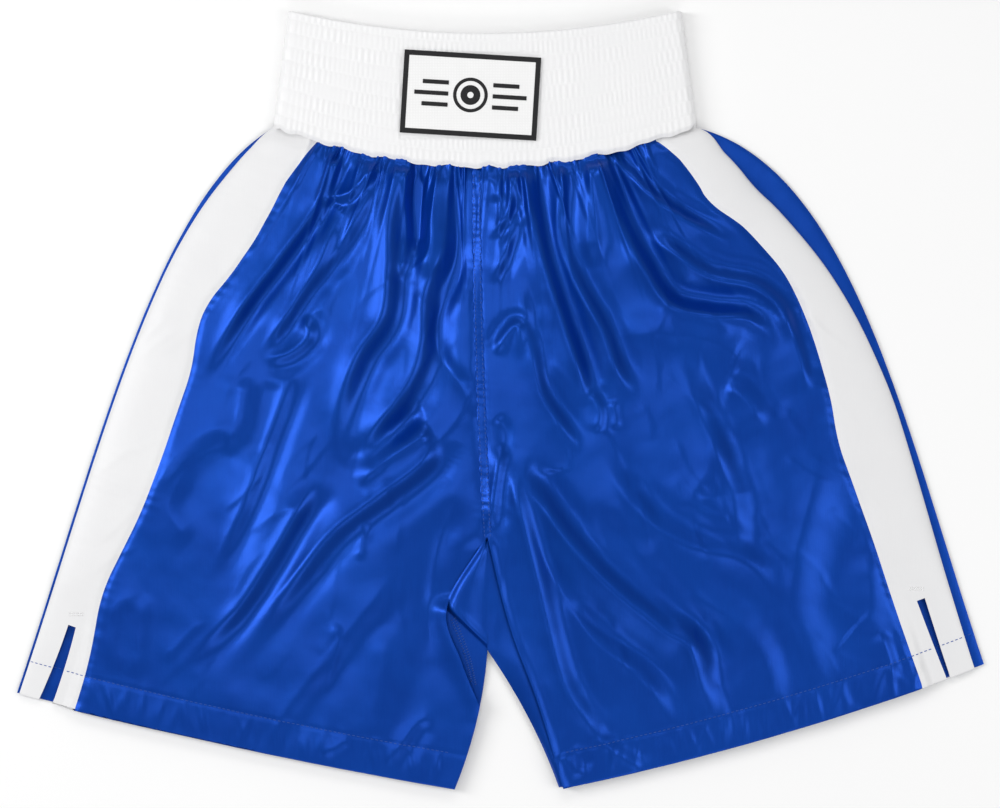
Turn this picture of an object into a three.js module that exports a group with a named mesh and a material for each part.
// Satin boxing shorts, laid flat on their back with the front facing up.
// Millimetres, +Z up, +Y towards the waist. Left and right are as seen from the front.
// The origin is at the middle of the shorts' outline, on the table.
//
// Each cloth piece is a thin solid: its outline is drawn in plan and every point of the
// outline carries the height of its underside, so a side stripe can slope from the front
// cloth down to the table. A leg can be folded up over the front, so each piece that
// crosses a fold line is parted there into a seat part and a leg part.

import * as THREE from 'three';

// ---- Thicknesses and clearances ----
const cloth = 1.0;              // thickness of a cloth solid
const thread = 0.5;             // thickness of a line of stitching
const thread_width = 1.2;       // width of a line of stitching
const gap = 0.3;                // clearance between neighbours that are sewn together
const front_z = 11.0;           // underside of the front cloth above the table
const side_z = 2.0;             // underside of a side stripe at its outer edge
const crotch_z = 2.0;           // underside of the gusset at the edge of the crotch

// ---- Lengths, from the waist down ----
const band_side_height = 88;    // waistband, at its two ends
const side_rise = 402;          // bottom of the waistband's ends to the crotch
const inseam_drop = 106;        // crotch to the inner corner of a hem
const band_top_dip = 17.5;      // the top edge sags this far at the middle
const waist_seam_dip = 31.5;    // the lower edge sags this far at the middle

// ---- Widths ----
const leg_span = 744;           // outer hem corner to outer hem corner
const leg_gap = 80;             // inner hem corner to inner hem corner
const leg_gap_x = 5;            // the gap between the legs is centred here
const band_top_width = 302;
const band_low_width = 325;
const waist_x = -12;            // the waistband is centred here
const crotch_x = -10;
const centre_seam_lean = -6.5;  // the front seam meets the waistband this far from its middle

// ---- Waistband ----
const band_thickness = 14;      // both walls and the space between them
const cover_wall = 0.8;
const elastic_thickness = 1.2;
const band_steps = 16;          // steps along the front or the back
const band_end_steps = 6;       // steps round each end

// ---- Patch and label ----
const patch_width = 104;
const patch_height = 62;
const patch_thickness = 0.6;
const patch_offset_x = -11;     // from the middle of the waistband
const patch_tilt = -3.5;        // degrees
const patch_margin = 2.5;       // edge of the patch to its stitching
const label_width = 38;
const label_height = 30;
const label_thickness = 0.4;

// ---- Side stripes and vents ----
const stripe_top_width = 35;
const stripe_width = 50;
const stripe_hem_width = 45;
const vent_length = 58;
const vent_top_width = 5;
const vent_mouth = 11;
const tack_length = 3;          // stitched bar across the top of a vent
const tack_width = 9;

// ---- Centre seam and gusset ----
const gusset_length = 87;       // end of the centre seam to the crotch
const seam_rows = 5;            // between the two rows of stitching
const gusset_hem_width = 3;     // gusset strip at the hem

// ---- Hem ----
const hem_depth = 27;
const hem_bow = 6;              // how far the hem bulges past a straight line

// ---- Leg folds ----
const fold_drop = 24;           // fold line below the crotch, at the middle
const fold_above_vent = 3;      // fold line above the top of a vent, at the side

// ---- What differs between the two legs ----
const legs = {
  left: {
    sign: -1,
    hem_rise: 73,               // outer hem corner above the inner one
    back_show: 2,               // back cloth seen outside the stripe
    gusset_shoulder: [-31, 33], // from the crotch, where the front edge turns down the leg
  },
  right: {
    sign: 1,
    hem_rise: 95,
    back_show: 8,
    gusset_shoulder: [16, 22],
  },
};

// ---- Heights on the plan, measured from the middle of the outline ----
const total_length = band_side_height + side_rise + inseam_drop;
const band_top_y = total_length / 2;
const waist_y = band_top_y - band_side_height;
const crotch_y = waist_y - side_rise;
const hem_low_y = crotch_y - inseam_drop;
const seam_end_y = crotch_y + gusset_length;
const front_top = front_z + cloth;

const curve_steps = 14;         // steps along an edge curve

// ---- Materials ----
function finish(colour, roughness) {
  return new THREE.MeshStandardMaterial({ color: colour, roughness, metalness: 0 });
}
const materials = {
  blue_satin: () => finish(0x123fa8, 0.35),
  white_satin: () => finish(0xf1f2f4, 0.4),
  elastic: () => finish(0xe6e4de, 0.8),
  woven_patch: () => finish(0xf4f4f2, 0.7),
  label: () => finish(0xfafafa, 0.75),
  blue_thread: () => finish(0x1b4cc0, 0.5),
  white_thread: () => finish(0xededed, 0.6),
};

const shorts = new THREE.Group();

function add(name, geometry, material) {
  const mesh = new THREE.Mesh(geometry, materials[material]());
  mesh.name = name;
  shorts.add(mesh);
}

// ---- Plan geometry: a point is a Vector3 whose z is the height of the cloth's underside ----
const at = (x, y, z = front_z) => new THREE.Vector3(x, y, z);

/** Points along a three.js curve, both ends included. */
const along = (curve, steps = curve_steps) => curve.getPoints(steps);

/** The lower edge of the waistband at a given x: a parabola that sags at the middle. */
function waist_line_y(x) {
  const share = (x - waist_x) / (band_low_width / 2);
  return waist_y - waist_seam_dip * (1 - Math.min(1, share * share));
}

/** Keeps the part of an outline on the positive side of a line through `origin`. */
function clip(outline, origin, direction, keep) {
  const distance = (p) => keep * (direction.x * (p.y - origin.y) - direction.y * (p.x - origin.x));
  const kept = [];
  outline.forEach((point, index) => {
    const next = outline[(index + 1) % outline.length];
    const here = distance(point);
    const there = distance(next);
    if (here >= 0) {
      kept.push(point);
    }
    if ((here >= 0) !== (there >= 0)) {
      kept.push(point.clone().lerp(next, here / (here - there)));
    }
  });
  return kept;
}

/** Drops points that lie on top of the one before. */
function without_repeats(outline) {
  return outline.filter((point, index) => {
    const last = outline[(index + outline.length - 1) % outline.length];
    return Math.hypot(point.x - last.x, point.y - last.y) > 0.05;
  });
}

/** Moves every side of an outline inwards by `depth`, so sewn neighbours keep their gap. */
function inset(outline, depth) {
  const points = without_repeats(outline);
  const flat = points.map((p) => new THREE.Vector2(p.x, p.y));
  const turn = THREE.ShapeUtils.isClockWise(flat) ? -1 : 1;
  return points.map((point, index) => {
    const before = points[(index + points.length - 1) % points.length];
    const after = points[(index + 1) % points.length];
    const one = new THREE.Vector2(point.x - before.x, point.y - before.y).normalize();
    const two = new THREE.Vector2(after.x - point.x, after.y - point.y).normalize();
    const side = new THREE.Vector2(-(one.y + two.y), one.x + two.x).normalize();
    const reach = Math.max(0.35, side.dot(new THREE.Vector2(-one.y, one.x)));
    const step = (turn * depth) / reach;
    return at(point.x + side.x * step, point.y + side.y * step, point.z);
  });
}

/** A thin solid over an outline: each point is lifted to its own height. */
function sheet(outline, thickness = cloth) {
  const shape = new THREE.Shape(outline.map((p) => new THREE.Vector2(p.x, p.y)));
  const geometry = new THREE.ExtrudeGeometry(shape, { depth: thickness, bevelEnabled: false });
  const key = (x, y) => `${x.toFixed(3)},${y.toFixed(3)}`;
  const height = new Map(outline.map((p) => [key(Math.fround(p.x), Math.fround(p.y)), p.z]));
  const position = geometry.attributes.position;
  for (let i = 0; i < position.count; i += 1) {
    const lift = height.get(key(position.getX(i), position.getY(i)));
    position.setZ(i, position.getZ(i) + lift);
  }
  return geometry;
}

/** A line of stitching: a thin ribbon along a list of points, resting on the surface below. */
function stitching(line, lift) {
  const sides = [-1, 1].map((side) => line.map((point, index) => {
    const before = line[Math.max(0, index - 1)];
    const after = line[Math.min(line.length - 1, index + 1)];
    const across = new THREE.Vector2(before.y - after.y, after.x - before.x).normalize();
    const reach = (side * thread_width) / 2;
    return at(point.x + across.x * reach, point.y + across.y * reach, point.z + lift);
  }));
  return sheet([...sides[0], ...sides[1].reverse()], thread);
}

// ---- Waistband: a cloth tube folded over a wide elastic, flattened into a long loop ----

/** A point on the flattened loop; `inset_by` is measured in from its outer face. */
function band_point(step, inset_by, rise) {
  const radius = band_thickness / 2;
  const quarter = Math.PI / 2;
  let share;
  let angle;
  if (step < band_steps) {
    share = -1 + (2 * step) / band_steps;
    angle = quarter;
  } else if (step < band_steps + band_end_steps) {
    share = 1;
    angle = quarter - (Math.PI * (step - band_steps)) / band_end_steps;
  } else if (step < 2 * band_steps + band_end_steps) {
    share = 1 - (2 * (step - band_steps - band_end_steps)) / band_steps;
    angle = -quarter;
  } else {
    share = -1;
    angle = -quarter - (Math.PI * (step - 2 * band_steps - band_end_steps)) / band_end_steps;
  }
  const sag = 1 - share * share;
  const low = waist_y - waist_seam_dip * sag;
  const high = band_top_y - band_top_dip * sag;
  const y = rise >= 0 ? low + rise : high + rise;
  const width = THREE.MathUtils.mapLinear(y, low, high, band_low_width, band_top_width);
  const x = waist_x + (width / 2 - radius) * share + (radius - inset_by) * Math.cos(angle);
  return [x, y, radius + (radius - inset_by) * Math.sin(angle)];
}

/** Sweeps a section round the loop. A corner is [inset, rise]: a rise below zero hangs
    from the top edge, any other stands on the lower edge. */
function band_ring(section) {
  const loop = 2 * (band_steps + band_end_steps);
  const corners = section.length;
  const vertices = [];
  const faces = [];
  for (let step = 0; step < loop; step += 1) {
    section.forEach(([inset_by, rise]) => vertices.push(...band_point(step, inset_by, rise)));
    for (let corner = 0; corner < corners; corner += 1) {
      const next_step = (step + 1) % loop;
      const next_corner = (corner + 1) % corners;
      const a = step * corners + corner;
      const b = next_step * corners + corner;
      const c = next_step * corners + next_corner;
      const d = step * corners + next_corner;
      faces.push(a, b, c, a, c, d);
    }
  }
  const geometry = new THREE.BufferGeometry();
  geometry.setAttribute('position', new THREE.Float32BufferAttribute(vertices, 3));
  geometry.setIndex(faces);
  geometry.computeVertexNormals();
  return geometry;
}

const least = 0.001;            // keeps a corner measured from the top edge below it
const wall_total = 2 * cover_wall + 2 * gap + elastic_thickness;

function waistband() {
  add('waistband_cover', band_ring([
    [0, gap],
    [0, -least],
    [wall_total, -least],
    [wall_total, gap],
    [wall_total - cover_wall, gap],
    [wall_total - cover_wall, -cover_wall],
    [cover_wall, -cover_wall],
    [cover_wall, gap],
  ]), 'white_satin');
  add('waistband_elastic', band_ring([
    [cover_wall + gap, gap],
    [cover_wall + gap, -cover_wall - gap],
    [cover_wall + gap + elastic_thickness, -cover_wall - gap],
    [cover_wall + gap + elastic_thickness, gap],
  ]), 'elastic');
}

/** A rectangle centred on the origin, as a shape or as a hole. */
function rectangle(width, height, Kind = THREE.Shape) {
  const corners = [[-1, -1], [1, -1], [1, 1], [-1, 1]];
  return new Kind(corners.map(([x, y]) => new THREE.Vector2((x * width) / 2, (y * height) / 2)));
}

function plate(shape, thickness, x, y, z, tilt = 0) {
  const geometry = new THREE.ExtrudeGeometry(shape, { depth: thickness, bevelEnabled: false });
  geometry.rotateZ(THREE.MathUtils.degToRad(tilt));
  geometry.translate(x, y, z);
  return geometry;
}

function patch_and_label() {
  const band_middle_y = (band_top_y - band_top_dip + waist_y - waist_seam_dip) / 2;
  const x = waist_x + patch_offset_x;
  const y = band_middle_y + 4;
  const z = band_thickness + gap;
  add('waistband_patch', plate(
    rectangle(patch_width, patch_height), patch_thickness, x, y, z, patch_tilt,
  ), 'woven_patch');

  const frame = rectangle(patch_width - 2 * patch_margin, patch_height - 2 * patch_margin);
  const inner = 2 * (patch_margin + thread_width);
  frame.holes.push(rectangle(patch_width - inner, patch_height - inner, THREE.Path));
  add('patch_stitching', plate(
    frame, thread, x, y, z + patch_thickness + gap, patch_tilt,
  ), 'white_thread');

  add('care_label', plate(
    rectangle(label_width, label_height), label_thickness, waist_x, band_middle_y,
    wall_total + gap,
  ), 'label');
}

// ---- Edges of the cloth pieces ----

/** The outer edge of the back cloth, from the waistband to the outer hem corner. */
function side_edge(leg) {
  const top = at(waist_x + (leg.sign * band_low_width) / 2, waist_y, 0);
  const corner = at((leg.sign * leg_span) / 2, hem_low_y + leg.hem_rise, 0);
  const top_handle = at(top.x + leg.sign * 90, top.y - 52, 0);
  const corner_handle = at(corner.x - leg.sign * 62, corner.y + 185, 0);
  return new THREE.CubicBezierCurve3(top, top_handle, corner_handle, corner);
}

/** The width of a stripe at a share of its length: gathered at the top, full lower down. */
function stripe_width_at(share) {
  const gathered = THREE.MathUtils.smoothstep(share, 0, 0.3);
  const eased = THREE.MathUtils.smoothstep(share, 0.6, 1);
  const upper = THREE.MathUtils.lerp(stripe_top_width, stripe_width, gathered);
  return THREE.MathUtils.lerp(upper, stripe_hem_width, eased);
}

/** A point on a side stripe: `share` runs from the waist to the hem, `across` from its
    seam with the front (0) to its seam with the back (1). */
function stripe_point(leg, share, across) {
  const edge = side_edge(leg);
  const point = edge.getPoint(share);
  const tangent = edge.getTangent(share);
  const in_x = leg.sign * tangent.y;
  const in_y = -leg.sign * tangent.x;
  const show = leg.back_show * THREE.MathUtils.smoothstep(share, 0, 0.15);
  const depth = show + stripe_width_at(share) * (1 - across);
  const z = THREE.MathUtils.lerp(front_z, side_z, across);
  return at(point.x + in_x * depth, point.y + in_y * depth, z);
}

function stripe_edge(leg, across, from = 0, to = 1) {
  const points = [];
  for (let i = 0; i <= curve_steps; i += 1) {
    points.push(stripe_point(leg, from + ((to - from) * i) / curve_steps, across));
  }
  return points;
}

/** The front or back hem, from the inner corner to the outer one. */
function hem_curve(leg) {
  const inner = at(leg_gap_x + (leg.sign * leg_gap) / 2, hem_low_y, 0);
  const outer = at((leg.sign * leg_span) / 2, hem_low_y + leg.hem_rise, 0);
  const middle = inner.clone().lerp(outer, 0.5);
  middle.y -= 2 * hem_bow;
  return new THREE.QuadraticBezierCurve3(inner, middle, outer);
}

/** The y of the hem below a given x, found by halving. */
function hem_y(leg, x) {
  const curve = hem_curve(leg);
  let low = 0;
  let high = 1;
  for (let i = 0; i < 24; i += 1) {
    const middle = (low + high) / 2;
    if (leg.sign * (curve.getPoint(middle).x - x) < 0) {
      low = middle;
    } else {
      high = middle;
    }
  }
  return curve.getPoint(low).y;
}

/** The centre seam from the waistband to a given y. */
function centre_seam(end_x, end_y) {
  const top_x = waist_x + centre_seam_lean;
  const top = at(top_x, waist_line_y(top_x));
  const bend = at(top_x, THREE.MathUtils.lerp(top.y, end_y, 0.45));
  return new THREE.QuadraticBezierCurve3(top, bend, at(end_x, end_y));
}

/** The edge of the front cloth along the gusset, from the centre seam's end to the hem. */
function gusset_edge(leg) {
  const inner = hem_curve(leg).getPoint(0);
  const [shoulder_x, shoulder_y] = leg.gusset_shoulder;
  return new THREE.CatmullRomCurve3([
    at(crotch_x, seam_end_y),
    at(crotch_x + shoulder_x, crotch_y + shoulder_y),
    at(
      THREE.MathUtils.lerp(crotch_x + shoulder_x, inner.x, 0.55),
      THREE.MathUtils.lerp(crotch_y, hem_low_y, 0.5),
    ),
    at(inner.x + leg.sign * gusset_hem_width, hem_y(leg, inner.x + leg.sign * gusset_hem_width)),
  ], false, 'chordal');
}

/** The inner edge of a leg, from the crotch to the inner hem corner. */
function inseam(leg, z) {
  const inner = hem_curve(leg).getPoint(0);
  return [at(crotch_x, crotch_y, z), at(inner.x, inner.y, z)];
}

/** Hem points strictly between two x values, from the inner one outwards. */
function hem_between(leg, from_x, to_x, z) {
  const points = along(hem_curve(leg));
  const inside = points.filter((p) => leg.sign * (p.x - from_x) > 4 && leg.sign * (to_x - p.x) > 4);
  return inside.map((p) => at(p.x, p.y, z));
}

/** Points along the waistband's lower edge, ends left out. */
function waist_points(from_x, to_x, z, steps = 8) {
  const points = [];
  for (let i = 1; i < steps; i += 1) {
    const x = THREE.MathUtils.lerp(from_x, to_x, i / steps);
    points.push(at(x, waist_line_y(x), z));
  }
  return points;
}

// ---- Fold lines ----

/** How far down a stripe its vent begins, as a share of the stripe's length. */
const vent_share = (leg) => 1 - vent_length / side_edge(leg).getLength();

/** The line a leg folds about: from below the crotch to above the vent, pointing to +X. */
function fold_line(leg) {
  const origin = at(crotch_x, crotch_y - fold_drop, 0);
  const side = stripe_point(leg, vent_share(leg), 0.5);
  const end = at(side.x, side.y + fold_above_vent, 0);
  const direction = end.sub(origin).multiplyScalar(leg.sign).normalize();
  return { origin, direction };
}

/** Adds a cloth piece that crosses a leg's fold as two solids, one on each side of it. */
function add_parted(side, name, outline, material) {
  const { origin, direction } = fold_line(legs[side]);
  const seat_part = clip(outline, origin, direction, 1);
  const leg_part = clip(outline, origin, direction, -1);
  add(`${side}_${name}`, sheet(inset(seat_part, gap / 2)), material);
  add(`${side}_${name}_leg`, sheet(inset(leg_part, gap / 2)), material);
}

// ---- Cloth pieces ----

function front_panel(side) {
  const leg = legs[side];
  const stripe = stripe_edge(leg, 0);
  stripe[0].y = waist_line_y(stripe[0].x);
  const last = stripe[stripe.length - 1];
  last.y = hem_y(leg, last.x);
  const gusset = along(gusset_edge(leg));
  const seam = along(centre_seam(crotch_x, seam_end_y));
  add_parted(side, 'front_panel', [
    ...seam,
    ...gusset.slice(1),
    ...hem_between(leg, gusset[gusset.length - 1].x, last.x, front_z),
    ...stripe.reverse(),
    ...waist_points(stripe[stripe.length - 1].x, seam[0].x, front_z),
  ], 'blue_satin');
}

function back_panel(side) {
  const leg = legs[side];
  const edge = along(side_edge(leg));
  const seam = along(centre_seam(crotch_x, crotch_y)).map((p) => at(p.x, p.y, 0));
  const inner = inseam(leg, 0)[1];
  const outer = edge[edge.length - 1];
  add_parted(side, 'back_panel', [
    ...seam,
    inner,
    ...hem_between(leg, inner.x, outer.x, 0),
    ...edge.reverse(),
    ...waist_points(edge[edge.length - 1].x, seam[0].x, 0),
  ], 'blue_satin');
}

function side_stripe(side) {
  const leg = legs[side];
  const inner = stripe_edge(leg, 0);
  const outer = stripe_edge(leg, 1);
  inner[0].y = waist_line_y(inner[0].x);
  outer[0].y = waist_line_y(outer[0].x);
  const on_hem = (across, share) => {
    const low = stripe_point(leg, 1, across);
    return at(low.x, share === 1 ? hem_y(leg, low.x) : low.y, low.z);
  };
  inner[inner.length - 1] = on_hem(0, 1);
  outer[outer.length - 1] = on_hem(1, 1);
  const length = side_edge(leg).getLength();
  const width = stripe_hem_width;
  const top_share = vent_share(leg);
  const mouth = [0.5 - vent_mouth / 2 / width, 0.5 + vent_mouth / 2 / width];
  const top = [0.5 - vent_top_width / 2 / width, 0.5 + vent_top_width / 2 / width];
  add_parted(side, 'side_stripe', [
    ...inner,
    on_hem(mouth[0], 1),
    stripe_point(leg, top_share, top[0]),
    stripe_point(leg, top_share, top[1]),
    on_hem(mouth[1], 1),
    ...outer.reverse(),
  ], 'white_satin');

  const tack_half = tack_width / 2 / width;
  const tack_low = top_share - gap / length;
  const tack_high = tack_low - tack_length / length;
  const tack = [
    stripe_point(leg, tack_low, 0.5 - tack_half),
    stripe_point(leg, tack_high, 0.5 - tack_half),
    stripe_point(leg, tack_high, 0.5 + tack_half),
    stripe_point(leg, tack_low, 0.5 + tack_half),
  ];
  tack.forEach((point) => {
    point.z += cloth + 1.5 * gap;
  });
  add(`${side}_vent_tack`, sheet(tack, thread), 'white_thread');
}

/** The gusset: one piece at the crotch, with a strip down the inside of each leg. */
function gusset() {
  const fork = (side) => {
    const leg = legs[side];
    const front = along(gusset_edge(leg));
    const inner = inseam(leg, crotch_z + cloth);
    return { front, inner };
  };
  const left = fork('left');
  const right = fork('right');
  let seat_part = [
    ...right.front,
    right.inner[1],
    right.inner[0],
    left.inner[1],
    ...left.front.slice(1).reverse(),
  ];
  Object.values(legs).forEach((leg) => {
    const { origin, direction } = fold_line(leg);
    seat_part = clip(seat_part, origin, direction, 1);
  });
  add('crotch_gusset', sheet(inset(seat_part, gap / 2)), 'blue_satin');

  Object.entries({ left, right }).forEach(([side, { front, inner }]) => {
    const { origin, direction } = fold_line(legs[side]);
    const strip = clip([...front.slice(1), inner[1], inner[0]], origin, direction, -1);
    add(`${side}_gusset_leg`, sheet(inset(strip, gap / 2)), 'blue_satin');
  });
}

function seam_stitching() {
  const seam = along(centre_seam(crotch_x, seam_end_y + hem_depth / 2));
  seam.shift();
  [['left', -1], ['right', 1]].forEach(([side, sign]) => {
    const row = seam.map((p) => at(p.x + (sign * seam_rows) / 2, p.y, front_top));
    add(`front_seam_stitching_${side}`, stitching(row, gap), 'blue_thread');
  });
  const back = along(centre_seam(crotch_x, crotch_y + hem_depth / 2));
  back.shift();
  const back_row = back.map((p) => at(p.x, p.y, cloth));
  add('back_seam_stitching', stitching(back_row, gap), 'blue_thread');
}

/** A row of stitching one hem depth above the hem, between two x values. */
function hem_row(leg, from_x, to_x, z) {
  const row = [];
  for (let i = 0; i <= curve_steps; i += 1) {
    const x = THREE.MathUtils.lerp(from_x, to_x, i / curve_steps);
    row.push(at(x, hem_y(leg, x) + hem_depth, z));
  }
  return row;
}

function hem_stitching(side) {
  const leg = legs[side];
  const end_gap = 12;
  const inner_x = hem_curve(leg).getPoint(0).x + leg.sign * end_gap;
  const stripe_x = stripe_point(leg, 1, 0).x - leg.sign * 2;
  const outer_x = (leg.sign * leg_span) / 2 - leg.sign * end_gap;
  const front = hem_row(leg, inner_x, stripe_x, front_top);
  const back = hem_row(leg, inner_x, outer_x, cloth);
  add(`${side}_front_hem_stitching`, stitching(front, gap), 'blue_thread');
  add(`${side}_back_hem_stitching`, stitching(back, gap), 'blue_thread');
}

waistband();
patch_and_label();
Object.keys(legs).forEach((side) => {
  front_panel(side);
  back_panel(side);
  side_stripe(side);
  hem_stitching(side);
});
gusset();
seam_stitching();

export default shorts;
